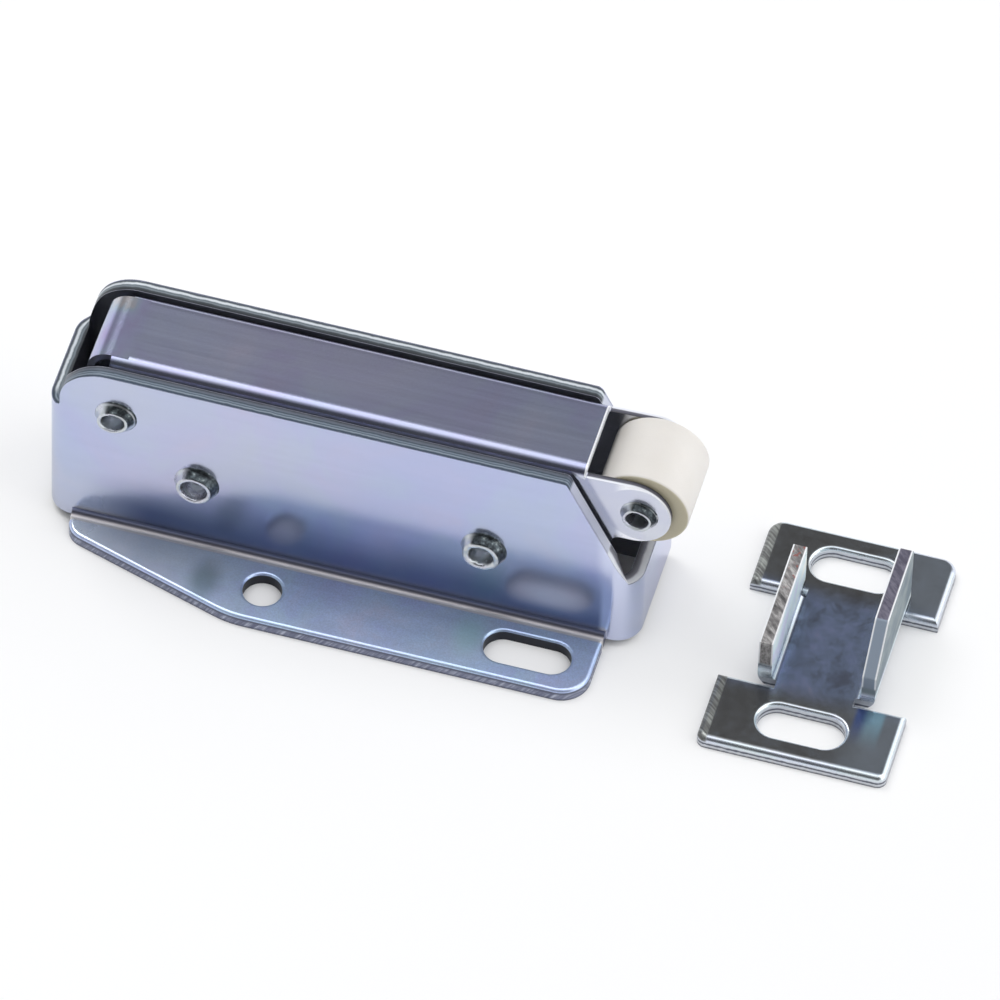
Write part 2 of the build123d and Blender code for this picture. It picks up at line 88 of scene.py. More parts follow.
# Node helper, for materials, the world and geometry
class NodeGraph:
    def __init__(self, tree):
        self.tree = tree
        tree.nodes.clear()

    def add(self, kind, inputs=None, **settings):
        node = self.tree.nodes.new(kind)
        for key, value in settings.items():
            setattr(node, key, value)
        for key, value in (inputs or {}).items():
            self.feed(node.inputs[key], value)
        return node

    def feed(self, socket, value):
        if isinstance(value, bpy.types.NodeSocket):
            self.tree.links.new(value, socket)
        else:
            socket.default_value = value

    def math(self, operation, first, second=0.0, third=0.0):
        inputs = {0: first, 1: second, 2: third}
        return self.add("ShaderNodeMath", inputs, operation=operation).outputs[0]

    def plus(self, first, second):
        return self.math("ADD", first, second)

    def minus(self, first, second):
        return self.math("SUBTRACT", first, second)

    def times(self, first, *others):
        for other in others:
            first = self.math("MULTIPLY", first, other)
        return first

    def vector(self, operation, first, second=(0, 0, 0), output="Vector"):
        node = self.add("ShaderNodeVectorMath", {0: first, 1: second}, operation=operation)
        return node.outputs[output]

    def scaled(self, vector, factor):
        node = self.add("ShaderNodeVectorMath", {0: vector, "Scale": factor}, operation="SCALE")
        return node.outputs["Vector"]

    def length(self, vector):
        return self.vector("LENGTH", vector, output="Value")

    def split(self, vector):
        return self.add("ShaderNodeSeparateXYZ", {0: vector}).outputs

    def join(self, x=0.0, y=0.0, z=0.0):
        return self.add("ShaderNodeCombineXYZ", {0: x, 1: y, 2: z}).outputs[0]

    def ramp(self, value, low, high, outLow=0.0, outHigh=1.0, curve="SMOOTHSTEP"):
        node = self.add("ShaderNodeMapRange", {
            "Value": value, "From Min": low, "From Max": high, "To Min": outLow, "To Max": outHigh,
        }, interpolation_type=curve)
        return node.outputs["Result"]

    def band(self, value, low, high, soft):
        rise = self.ramp(value, low - soft, low + soft)
        fall = self.ramp(value, high - soft, high + soft, 1.0, 0.0)
        return self.times(rise, fall)

    def mix(self, factor, first, second):
        node = self.add("ShaderNodeMix", data_type="RGBA")
        for key, value in ((0, factor), (6, first), (7, second)):
            self.feed(node.inputs[key], value)
        return node.outputs[2]

    def blendValue(self, factor, first, second):
        node = self.add("ShaderNodeMix", data_type="FLOAT")
        for key, value in ((0, factor), (2, first), (3, second)):
            self.feed(node.inputs[key], value)
        return node.outputs[0]

    def noise(self, vector, scale, detail=3.0, roughness=0.55, distortion=0.0):
        return self.add("ShaderNodeTexNoise", {
            "Vector": vector, "Scale": scale, "Detail": detail, "Roughness": roughness,
            "Distortion": distortion,
        }).outputs["Fac"]

    def mapped(self, vector, scale, turn=(0, 0, 0)):
        node = self.add("ShaderNodeMapping", {"Vector": vector, "Scale": scale, "Rotation": turn})
        return node.outputs[0]

    def stretched(self, vector, scale, detail=3.0, roughness=0.55, turn=(0, 0, 0)):
        return self.noise(self.mapped(vector, scale, turn), 1.0, detail, roughness)

    # Noise swung about zero
    def wander(self, noise, amount):
        return self.times(self.minus(noise, 0.5), amount)

    def stops(self, value, colours):
        node = self.add("ShaderNodeValToRGB", {"Fac": value})
        ramp = node.color_ramp
        while len(ramp.elements) < len(colours):
            ramp.elements.new(0.5)
        for element, (place, colour) in zip(ramp.elements, colours):
            element.position = place
            element.color = rgb(*colour)
        return node.outputs["Color"]


def rgb(red, green, blue):
    return (red, green, blue, 1.0)


def newMaterial(name):
    material = bpy.data.materials.new(name)
    material.use_nodes = True
    return material, NodeGraph(material.node_tree)


# Places and normals are the piece's own
def newSurface(name):
    material, graph = newMaterial(name)
    coordinates = graph.add("ShaderNodeTexCoord").outputs
    return material, graph, coordinates["Object"], graph.split(coordinates["Normal"])


def closeSurface(graph, height, tooth, depth, settings):
    bump = graph.add("ShaderNodeBump", {"Height": height, "Strength": tooth, "Distance": depth})
    surface = graph.add("ShaderNodeBsdfPrincipled", {**settings, "Normal": bump.outputs["Normal"]})
    graph.add("ShaderNodeOutputMaterial", {"Surface": surface.outputs["BSDF"]})


# What all plated pieces share
plate = {
    "broadShift": (0.3, 0.1, 0.2),
    "broadShare": 0.4,         # scale of the broad clouds against the small ones
    "grainScale": 4200.0,
    "lineRoughness": 0.05,
    "lineHeight": 0.6,
    "grainHeight": 0.4,
    "toothDepth": 0.00002,
    "sheen": 0.5,
    "rainbow": [
        (0.30, (0.52, 0.40, 0.62)), (0.42, (0.36, 0.40, 0.74)), (0.50, (0.38, 0.55, 0.66)),
        (0.58, (0.40, 0.58, 0.56)), (0.70, (0.66, 0.62, 0.50)),
    ],
}


# Zinc plate: a tinted metal with rainbow clouds, drawn lines and a fine tooth. Each patch lays its own
# colour, roughness, metal share and sheen over it where its mask is 1.
def zincPlate(name, look):
    material, graph, position, facing = newSurface(name)
    clouds = graph.noise(position, look["cloudScale"], 4.0, 0.6, 0.6)
    shifted = graph.vector("ADD", position, plate["broadShift"])
    broad = graph.noise(shifted, look["cloudScale"] * plate["broadShare"], 2.0)
    lines = graph.stretched(position, look["lineScale"], 4.0, 0.6)
    grain = graph.noise(position, plate["grainScale"], 2.0)
    colour = graph.mix(graph.ramp(broad, 0.36, 0.64), rgb(*look["tint"]), rgb(*look["secondTint"]))
    colour = graph.mix(look["rainbowShare"], colour, graph.stops(clouds, plate["rainbow"]))
    shade = graph.plus(graph.wander(lines, look["lineShade"]), 1.0)
    shade = graph.plus(shade, graph.wander(grain, look["grainShade"]))
    colour = graph.scaled(colour, shade)
    rough = graph.plus(look["roughness"], graph.times(clouds, look["roughClouds"]))
    rough = graph.plus(rough, graph.times(lines, plate["lineRoughness"]))
    metallic, sheen = look["metallic"], plate["sheen"]
    for patch in look["patches"]:
        mask = patch["mask"](graph, position, facing)
        if callable(patch["colour"]):
            patchColour = patch["colour"](graph, position, facing)
        else:
            patchColour = rgb(*patch["colour"])
        colour = graph.mix(mask, colour, patchColour)
        rough = graph.blendValue(mask, rough, patch["roughness"])
        metallic = graph.blendValue(mask, metallic, patch["metallic"])
        if "sheen" in patch:
            sheen = graph.blendValue(mask, sheen, patch["sheen"])
    lineHeight = graph.times(lines, plate["lineHeight"])
    height = graph.plus(lineHeight, graph.times(grain, plate["grainHeight"]))
    closeSurface(graph, height, look["tooth"], plate["toothDepth"], {
        "Base Color": colour, "Roughness": rough, "Metallic": metallic, "Specular IOR Level": sheen,
    })
    return material


# Places on the solids that the finishes go by
rearLow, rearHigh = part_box("rear_wall")
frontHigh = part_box("front_wall")[1]
flangeLow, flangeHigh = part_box("flange")
nearLow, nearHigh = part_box("near_wall")
leverLow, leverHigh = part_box("lever")
keeperLow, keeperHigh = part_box("keeper")
pinMiddle = [(low + high) / 2 for low, high in zip(*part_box("roller_pin"))]
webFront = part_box("roller")[0][0] - 0.0011
upward = (0.80, 0.97)          # a flat top's normal
caseHalf = ((frontHigh[0] - rearLow[0]) / 2, (rearHigh[1] - rearLow[1]) / 2)
bendRadius = 0.0038            # on the outside
caseShape = {
    # its outline seen from above
    "middle": ((frontHigh[0] + rearLow[0]) / 2, (rearHigh[1] + rearLow[1]) / 2, 0),
    "reach": (caseHalf[0] - bendRadius, caseHalf[1] - bendRadius, 0),
    "sheet": 0.0020,
    "slopeStart": 0.0409,      # where the side walls' tops start to slope down
    "slopeTop": (0.0317, 0.0311),
    # where the near wall's cut edge turns to its painted shaded set
    "shadedNearEdge": (nearHigh[1] + 0.0022, nearHigh[1] + 0.0004),
    "frontEdge": (frontHigh[2] + 0.0006, frontHigh[2] + 0.0001),
    # band of the front bend's painted highlight
    "frontBendHighlight": (0.0466, 0.0508, 0.0010),
    # the near wall's painted reflection at its foot, and the pale painted reflection over the slot
    "footHeight": (0.0116, 0.0020),
    "footWander": -0.006,
    "footRear": (flangeLow[0], flangeLow[0] + 0.012),
    "footFront": (flangeHigh[0] - 0.0002, flangeHigh[0] - 0.0012),
    "footDeepest": (flangeLow[0], 0.012),
    "slotReflection": (0.0400, nearLow[1], 0.0080),
    "slotReflectionStretch": (150, 0, 330),
}


# 0 at the case's outer face, 1 at its inner face
def sheetDepth(graph, position):
    offset = graph.vector("SUBTRACT", position, caseShape["middle"])
    corner = graph.vector("SUBTRACT", graph.vector("ABSOLUTE", offset), caseShape["reach"])
    x, y, z = graph.split(corner)
    outside = graph.length(graph.join(graph.math("MAXIMUM", x, 0.0), graph.math("MAXIMUM", y, 0.0)))
    inside = graph.math("MINIMUM", graph.math("MAXIMUM", x, y), 0.0)
    distance = graph.minus(graph.plus(outside, inside), bendRadius)
    return graph.math("DIVIDE", distance, -caseShape["sheet"])


# Sheared edges of the case: streaks that run along the sheet, one set for each kind of edge; burnished
# and torn bands, with painted highlight lines on the sloping and front cuts and a painted shaded copy
# for the near wall
caseCutStops = {
    "level": [
        (0.00, (0.30, 0.32, 0.42)), (0.10, (0.05, 0.06, 0.08)), (0.20, (0.10, 0.12, 0.14)),
        (0.30, (0.66, 0.70, 0.74)), (0.40, (0.60, 0.64, 0.68)), (0.48, (0.10, 0.13, 0.15)),
        (0.62, (0.20, 0.23, 0.26)), (0.72, (0.04, 0.05, 0.06)), (1.00, (0.012, 0.012, 0.016)),
    ],
    # painted shade: a darker copy of the level set, for the near wall
    "shadedNear": [
        (0.00, (0.24, 0.27, 0.37)), (0.08, (0.03, 0.05, 0.08)), (0.20, (0.05, 0.07, 0.10)),
        (0.30, (0.26, 0.31, 0.37)), (0.38, (0.06, 0.09, 0.12)), (0.50, (0.19, 0.23, 0.29)),
        (0.58, (0.03, 0.05, 0.07)), (0.72, (0.12, 0.14, 0.18)), (1.00, (0.012, 0.012, 0.016)),
    ],
    # the sloping cut, with painted highlight lines
    "sloping": [
        (0.00, (0.60, 0.63, 0.74)), (0.10, (0.34, 0.36, 0.46)), (0.22, (0.56, 0.58, 0.68)),
        (0.84, (0.60, 0.62, 0.70)), (0.93, (0.70, 0.72, 0.78)), (1.00, (0.20, 0.21, 0.25)),
    ],
    # the front wall's level cut, with a painted highlight line
    "front": [
        (0.00, (0.50, 0.52, 0.60)), (0.14, (0.82, 0.84, 0.88)), (0.42, (0.70, 0.72, 0.76)),
        (0.58, (0.22, 0.22, 0.26)), (1.00, (0.05, 0.05, 0.06)),
    ],
}


def caseCut(graph, position, facing):
    return graph.band(sheetDepth(graph, position), 0.04, 0.96, 0.01)


def caseCutColour(graph, position, facing):
    x, y, z = graph.split(position)
    wander = graph.wander(graph.noise(position, 600.0, 4.0, 0.65), 0.20)
    depth = graph.plus(sheetDepth(graph, position), wander)
    level, shadedNear, sloping, front = (
        graph.stops(depth, caseCutStops[kind]) for kind in ("level", "shadedNear", "sloping", "front"))
    start = caseShape["slopeStart"]
    # painted shade on the near wall's cut edge
    nearSide = graph.ramp(y, *caseShape["shadedNearEdge"])
    colour = graph.mix(nearSide, level, shadedNear)
    onSlope = graph.times(graph.ramp(x, start, start + 0.0006), graph.ramp(z, *caseShape["slopeTop"]))
    colour = graph.mix(onSlope, colour, sloping)
    low = graph.ramp(z, *caseShape["frontEdge"])
    return graph.mix(graph.times(low, graph.ramp(x, start, start + 0.001)), colour, front)


# Painted shade: inside the case the plate is duller and painted a darker grey
def caseInsideShade(graph, position, facing):
    return graph.ramp(sheetDepth(graph, position), 0.95, 0.99)


def caseInsideShadeColour(graph, position, facing):
    cloud = graph.noise(position, 150.0, 3.0)
    return graph.stops(cloud, [(0.35, (0.26, 0.27, 0.31)), (0.65, (0.36, 0.37, 0.42))])


# Painted reflection: the near wall's foot is painted dark navy for the flange mirrored in it, less so
# towards the front; above the slot it is lifted for a pale painted reflection of the slot
def wallFootReflection(graph, position, facing):
    x, y, z = graph.split(position)
    outer = graph.ramp(facing[1], -0.5, -0.9)
    cloud = graph.noise(position, 45.0, 2.0)
    height = graph.plus(z, graph.times(cloud, caseShape["footWander"]))
    foot = graph.ramp(height, *caseShape["footHeight"])
    rearFade, frontFade = graph.ramp(x, *caseShape["footRear"]), graph.ramp(x, *caseShape["footFront"])
    strength = graph.ramp(x, *caseShape["footDeepest"], 1.0, 0.80)
    fromSlot = graph.vector("SUBTRACT", position, caseShape["slotReflection"])
    fromSlot = graph.length(graph.mapped(fromSlot, caseShape["slotReflectionStretch"]))
    strength = graph.times(strength, graph.minus(1.0, graph.ramp(fromSlot, 1.50, 0.20, 0.0, 0.60)))
    return graph.times(foot, graph.times(outer, rearFade), frontFade, strength)


# Painted highlight: the front bend's outer face is painted paler
def frontBendHighlight(graph, position, facing):
    bend = graph.band(graph.split(position)[0], *caseShape["frontBendHighlight"])
    return graph.times(bend, graph.ramp(facing[1], -0.2, -0.5))


caseZinc = {
    "tint": (0.50, 0.54, 0.74), "secondTint": (0.56, 0.57, 0.72),
    "cloudScale": 55.0, "rainbowShare": 0.14,
    "lineScale": (60.0, 900.0, 900.0), "lineShade": 0.10, "grainShade": 0.08,
    "roughness": 0.12, "roughClouds": 0.06, "metallic": 0.97, "tooth": 0.2,
    # painted highlight on the front bend, painted reflection at the near wall's foot, painted shade
    # inside the case, then the sheared edges
    "patches": [
        {"mask": frontBendHighlight, "colour": (0.66, 0.70, 0.88), "roughness": 0.16, "metallic": 0.97},
        {"mask": wallFootReflection, "colour": (0.105, 0.135, 0.255), "roughness": 0.27, "metallic": 1.0},
        {"mask": caseInsideShade, "colour": caseInsideShadeColour, "roughness": 0.3, "metallic": 0.95},
        {"mask": caseCut, "colour": caseCutColour, "roughness": 0.45, "metallic": 0.35},
    ],
}

flangeShape = {
    "cutEdge": (nearLow[1] - 0.0009, nearLow[1] - 0.0012),
    "strokes": (1900.0, 0.0, 260.0),   # scale along the edge and up it
    "strokeLean": -0.7,
    "strokeBand": (0.0002, 0.0012, 0.0003),
    "holesAlong": (-0.0035, 0.0460, 0.0002),
    "holesAcross": (-0.0035, 0.0036, 0.0002),
    "nose": (0.010, flangeLow[0]),
    "spots": ((-0.0082, -0.0008, 0.0), (0.0296, 0.0004, 0.0)),
    "spotStretch": (380, 240, 0),
    "spotChange": (0.015, 0.005),      # dark spot behind, light one in front
    "fold": (nearLow[1] - 0.0015, nearLow[1] - 0.0012),
    "foldStreakAmount": 0.14,
}


# Sheared edge of the flange, stroked by the punch; painted shade makes it dark inside the hole and the
# slot
def flangeCut(graph, position, facing):
    outer = graph.ramp(graph.split(position)[1], *flangeShape["cutEdge"])
    return graph.times(graph.ramp(facing[2], 0.45, 0.15), outer)


def flangeCutColour(graph, position, facing):
    x, y, z = graph.split(position)
    along = graph.plus(graph.minus(x, y), graph.times(z, flangeShape["strokeLean"]))
    streak = graph.stretched(graph.join(x=along, z=z), flangeShape["strokes"], 3.0, 0.6)
    light = graph.stops(streak, [
        (0.38, (0.16, 0.17, 0.25)), (0.52, (0.27, 0.29, 0.39)), (0.66, (0.52, 0.55, 0.66)),
    ])
    colour = graph.mix(graph.band(z, *flangeShape["strokeBand"]), rgb(0.10, 0.11, 0.16), light)
    alongHoles = graph.band(x, *flangeShape["holesAlong"])
    inside = graph.times(alongHoles, graph.band(y, *flangeShape["holesAcross"]))
    # painted shade inside the hole and the slot
    return graph.mix(inside, colour, rgb(0.025, 0.028, 0.04))


# The flange's rear end is pale
def flangeNose(graph, position, facing):
    along = graph.ramp(graph.split(position)[0], *flangeShape["nose"], 0.0, 0.80)
    return graph.times(along, graph.ramp(facing[2], *upward))


def flangeNoseColour(graph, position, facing):
    cloud = graph.noise(position, 180.0, 4.0, 0.6)
    return graph.stops(cloud, [(0.35, (0.72, 0.82, 0.92)), (0.65, (0.86, 0.92, 0.98))])


# Teal spots on the flange below the two lower rivets
def flangeSpot(graph, position, facing):
    spots = 0.0
    for place in flangeShape["spots"]:
        offset = graph.mapped(graph.vector("SUBTRACT", position, place), flangeShape["spotStretch"])
        spots = graph.plus(spots, graph.ramp(graph.length(offset), 1.3, 0.2, 0.0, 0.55))
    return graph.times(spots, graph.ramp(facing[2], *upward))


def flangeSpotColour(graph, position, facing):
    rearward = graph.ramp(graph.split(position)[0], *flangeShape["spotChange"])
    return graph.mix(rearward, rgb(0.50, 0.82, 0.84), rgb(0.14, 0.22, 0.23))


# The fold: brownish grey towards the wall, going dark navy at the wall, and a painted highlight line
# where it meets the flange
def flangeFold(graph, position, facing):
    return graph.ramp(graph.split(position)[1], *flangeShape["fold"])


def flangeFoldColour(graph, position, facing):
    across = graph.ramp(graph.split(position)[1], flangeShape["fold"][0], nearLow[1], curve="LINEAR")
    foldStreaks = graph.stretched(position, (300.0, 2500.0, 2500.0), 2.0)
    # a painted highlight line near the flange side, darker towards the wall
    return graph.stops(graph.plus(across, graph.wander(foldStreaks, flangeShape["foldStreakAmount"])), [
        (0.00, (0.44, 0.50, 0.62)), (0.14, (0.84, 0.84, 0.86)), (0.40, (0.76, 0.73, 0.70)),
        (0.56, (0.34, 0.32, 0.33)), (0.80, (0.17, 0.17, 0.22)), (1.00, (0.14, 0.16, 0.26)),
    ])


flangeZinc = {
    "tint": (0.56, 0.70, 0.95), "secondTint": (0.60, 0.64, 0.95),
    "cloudScale": 110.0, "rainbowShare": 0.20,
    "lineScale": (160.0, 700.0, 700.0), "lineShade": 0.25, "grainShade": 0.45,
    "roughness": 0.25, "roughClouds": 0.10, "metallic": 0.70, "tooth": 0.12,
    "patches": [
        {"mask": flangeNose, "colour": flangeNoseColour, "roughness": 0.26, "metallic": 0.66},
        {"mask": flangeSpot, "colour": flangeSpotColour, "roughness": 0.26, "metallic": 0.70},
        {"mask": flangeCut, "colour": flangeCutColour, "roughness": 0.4, "metallic": 0.5},
        {"mask": flangeFold, "colour": flangeFoldColour, "roughness": 0.3, "metallic": 0.7},
    ],
}

leverShape = {
    "rearBend": (leverLow[0] + 0.0070, leverLow[0] + 0.0030),
    "earStart": (pinMiddle[0] - 0.004, pinMiddle[0] - 0.002),
    "earRimHighlight": (0.0052, 0.0064, 0.00012),   # distance from the pin, softness
    "lip": (webFront - 0.00026, webFront + 0.00010, 0.00005),
    "lipHeight": (leverHigh[2] - 0.0014, leverHigh[2] - 0.0010),
    "earEdge": (webFront + 0.0001, webFront + 0.0002),
    "earSheet": 0.001,
}


# The bend at the lever's rear end shows rainbow swirls
def rearBend(graph, position, facing):
    return graph.ramp(graph.split(position)[0], *leverShape["rearBend"])


def rearBendColour(graph, position, facing):
    swirl = graph.stretched(position, (200.0, 90.0, 200.0))
    return graph.stops(swirl, [
        (0.34, (0.40, 0.36, 0.58)), (0.48, (0.42, 0.44, 0.64)), (0.58, (0.42, 0.50, 0.60)),
        (0.68, (0.54, 0.52, 0.54)),
    ])


# Painted light: the lever's sides are painted pale, and the ears have a painted highlight along the rim
def leverSideLit(graph, position, facing):
    return graph.ramp(graph.math("ABSOLUTE", facing[1]), 0.80, 0.97)


def leverSideLitColour(graph, position, facing):
    x, y, z = graph.split(position)
    fromPin = graph.length(graph.join(x=graph.minus(x, pinMiddle[0]), z=graph.minus(z, pinMiddle[2])))
    front = graph.ramp(x, *leverShape["earStart"])
    # painted highlight along the ear's rim
    rimHighlight = graph.times(graph.band(fromPin, *leverShape["earRimHighlight"]), front)
    cloud = graph.noise(position, 120.0, 3.0)
    plain = graph.stops(cloud, [(0.35, (0.60, 0.62, 0.74)), (0.65, (0.68, 0.70, 0.76))])
    return graph.mix(rimHighlight, plain, rgb(0.92, 0.93, 0.97))


# Painted highlight along the web's front edge
def webLipHighlight(graph, position, facing):
    x, y, z = graph.split(position)
    return graph.times(graph.band(x, *leverShape["lip"]), graph.ramp(z, *leverShape["lipHeight"]))


# Sheared edges of the lever's ears: a painted highlight along the outer side only, dark further in
def earEdge(graph, position, facing):
    ahead = graph.ramp(graph.split(position)[0], *leverShape["earEdge"])
    return graph.times(ahead, graph.ramp(graph.math("ABSOLUTE", facing[1]), 0.6, 0.3))


def earEdgeColour(graph, position, facing):
    middle = (leverLow[1] + leverHigh[1]) / 2
    outer = leverHigh[1] - middle
    out = graph.math("ABSOLUTE", graph.minus(graph.split(position)[1], middle))
    across = graph.ramp(out, outer, outer - leverShape["earSheet"], curve="LINEAR")
    return graph.stops(across, [
        (0.00, (0.86, 0.87, 0.92)), (0.28, (0.80, 0.82, 0.88)), (0.42, (0.14, 0.14, 0.18)),
        (0.80, (0.08, 0.08, 0.10)), (1.00, (0.05, 0.05, 0.06)),
    ])


leverZinc = {
    "tint": (0.34, 0.36, 0.50), "secondTint": (0.37, 0.36, 0.50),
    "cloudScale": 60.0, "rainbowShare": 0.10,
    "lineScale": (35.0, 1500.0, 1500.0), "lineShade": 0.20, "grainShade": 0.22,
    "roughness": 0.17, "roughClouds": 0.08, "metallic": 0.97, "tooth": 0.25,
    "patches": [
        {"mask": rearBend, "colour": rearBendColour, "roughness": 0.22, "metallic": 1.0},
        {"mask": leverSideLit, "colour": leverSideLitColour, "roughness": 0.2, "metallic": 0.95},
        {"mask": webLipHighlight, "colour": (0.90, 0.91, 0.94), "roughness": 0.35, "metallic": 0.3},
        {"mask": earEdge, "colour": earEdgeColour, "roughness": 0.4, "metallic": 0.4},
    ],
}

# left faces of the two lugs
leftLug, rightLug = keeperLow[0] + 0.0054, keeperLow[0] + 0.0202
keeperShape = {
    "plateTop": (0.0032, 0.0026),
    "waist": (keeperLow[1] + 0.0115, keeperHigh[1] - 0.0115, 0.0022),
    "paleRightEnd": (keeperHigh[0] - 0.0105, keeperHigh[0] - 0.0035),
    "streak": (rightLug, rightLug + 0.0040, 0.0004),   # beside the right lug
    "streakChange": (rightLug + 0.0008, rightLug + 0.0022),
    "streakStart": (keeperLow[1] + 0.0040, keeperLow[1] + 0.0105),
    "streakEnd": (keeperLow[1] + 0.014, keeperLow[1] + 0.012),
    "cutTop": (0.0021, 0.0019),
    "cutStrokes": (1300.0, 0.0, 500.0),    # scale along the edge and up it
    "cutWander": 0.0004,
    "cutHeight": 900.0,
    "drag": (keeperLow[0] + 0.0017, keeperLow[0] + 0.0013),
    "dragStrokes": (2600.0, 250.0, 0.0),
    "dragLean": 0.9,
    "lugSheet": 0.002,
    "lugFoot": (0.0022, 0.0034),
    "shadedSideFoot": (0.0028, 0.0040),
    "topFoot": (0.0046, 0.0052),
    "sheenTurn": (0.6, 0, 0),
    "tornStrokes": (1300.0, 500.0, 500.0),
    "tornLean": 0.8,
    "rustEnd": (keeperHigh[1] - 0.020, keeperHigh[1] - 0.014),
}


def atRightLug(graph, x):
    return graph.math("GREATER_THAN", x, (leftLug + rightLug) / 2)


# Painted shade: the flat tops are painted dark, the plates nearly black, the waist between them navy
# with fine clouds, paler towards the right end, with a navy to pale cyan streak beside the right lug
def keeperFlatShade(graph, position, facing):
    flat = graph.ramp(facing[2], 0.88, 0.99)
    return graph.times(flat, graph.ramp(graph.split(position)[2], *keeperShape["plateTop"]))


def keeperFlatShadeColour(graph, position, facing):
    x, y, z = graph.split(position)
    cloud = graph.noise(position, 230.0, 6.0, 0.75, 0.3)
    waist = graph.stops(cloud, [
        (0.36, (0.14, 0.16, 0.22)), (0.48, (0.21, 0.26, 0.38)), (0.58, (0.25, 0.30, 0.47)),
        (0.68, (0.33, 0.33, 0.46)), (0.78, (0.34, 0.42, 0.46)),
    ])
    plates = graph.stops(cloud, [
        (0.34, (0.12, 0.12, 0.12)), (0.52, (0.16, 0.165, 0.17)), (0.70, (0.20, 0.22, 0.25)),
    ])
    colour = graph.mix(graph.band(y, *keeperShape["waist"]), plates, waist)
    paleRightEnd = graph.ramp(x, *keeperShape["paleRightEnd"], 0.0, 0.45)
    colour = graph.mix(paleRightEnd, colour, rgb(0.38, 0.44, 0.52))
    beside = graph.band(x, *keeperShape["streak"])
    start, end = graph.ramp(y, *keeperShape["streakStart"]), graph.ramp(y, *keeperShape["streakEnd"])
    change = graph.ramp(x, *keeperShape["streakChange"])
    streak = graph.mix(change, rgb(0.08, 0.14, 0.40), rgb(0.36, 0.60, 0.74))
    return graph.mix(graph.times(beside, start, end, 0.8), colour, streak)


# Sheared edges of the plates
def keeperCut(graph, position, facing):
    side = graph.ramp(facing[2], 0.35, 0.1)
    return graph.times(side, graph.ramp(graph.split(position)[2], *keeperShape["cutTop"]))


def keeperCutColour(graph, position, facing):
    x, y, z = graph.split(position)
    along = graph.plus(graph.minus(x, y), z)
    streak = graph.stretched(graph.join(x=along, z=z), keeperShape["cutStrokes"], 3.0, 0.6)
    height = graph.plus(z, graph.wander(streak, keeperShape["cutWander"]))
    return graph.stops(graph.times(height, keeperShape["cutHeight"]), [
        (0.10, (0.16, 0.17, 0.20)), (0.30, (0.62, 0.64, 0.68)), (0.55, (0.72, 0.74, 0.78)),
        (0.68, (0.12, 0.13, 0.17)), (0.85, (0.10, 0.11, 0.14)), (1.0, (0.6, 0.63, 0.68)),
    ])


# Stroked band along the plates' left edges, where the shear dragged the metal
def keeperDrag(graph, position, facing):
    edge = graph.ramp(graph.split(position)[0], *keeperShape["drag"])
    return graph.times(edge, graph.ramp(facing[2], 0.1, 0.4))


def keeperDragColour(graph, position, facing):
    x, y, z = graph.split(position)
    along = graph.plus(y, graph.times(x, keeperShape["dragLean"]))
    return graph.stops(graph.stretched(graph.join(along, x), keeperShape["dragStrokes"], 2.0, 0.5), [
        (0.36, (0.13, 0.13, 0.13)), (0.52, (0.24, 0.25, 0.24)), (0.68, (0.38, 0.40, 0.38)),
    ])


# Painted light: the lugs' faces are painted pale and brushed, standing in for the bright light they
# reflect
def lugFaceLit(graph, position, facing):
    side = graph.ramp(graph.math("ABSOLUTE", facing[0]), 0.75, 0.95)
    return graph.times(side, graph.ramp(graph.split(position)[2], *keeperShape["lugFoot"]))


def lugFaceLitColour(graph, position, facing):
    brushed = graph.stretched(position, (1.0, 130.0, 210.0), 2.0, turn=keeperShape["sheenTurn"])
    return graph.stops(brushed, [
        (0.36, (0.80, 0.82, 0.97)), (0.46, (0.80, 0.94, 0.97)), (0.56, (0.90, 0.97, 0.95)),
        (0.66, (0.96, 0.96, 0.86)),
    ])


# Painted shade: the right lug's outer face and its front edge are painted darker, and less shiny
def lugShadedSide(graph, position, facing):
    x, y, z = graph.split(position)
    outer = graph.ramp(graph.math("MAXIMUM", facing[0], graph.times(facing[1], -1.0)), 0.60, 0.85)
    return graph.times(outer, atRightLug(graph, x), graph.ramp(z, *keeperShape["shadedSideFoot"]))


def lugShadedSideColour(graph, position, facing):
    brushed = graph.stretched(position, (1.0, 160.0, 240.0), turn=keeperShape["sheenTurn"])
    return graph.stops(brushed, [(0.38, (0.19, 0.23, 0.26)), (0.62, (0.30, 0.34, 0.35))])


# The lugs' tops: torn and a little rusty on the left, smooth on the right with a painted highlight
# where it turns towards the front, and painted highlight lines along both edges
def lugTop(graph, position, facing):
    up = graph.ramp(graph.math("ABSOLUTE", facing[0]), 0.75, 0.55)
    return graph.times(graph.ramp(graph.split(position)[2], *keeperShape["topFoot"]), up)


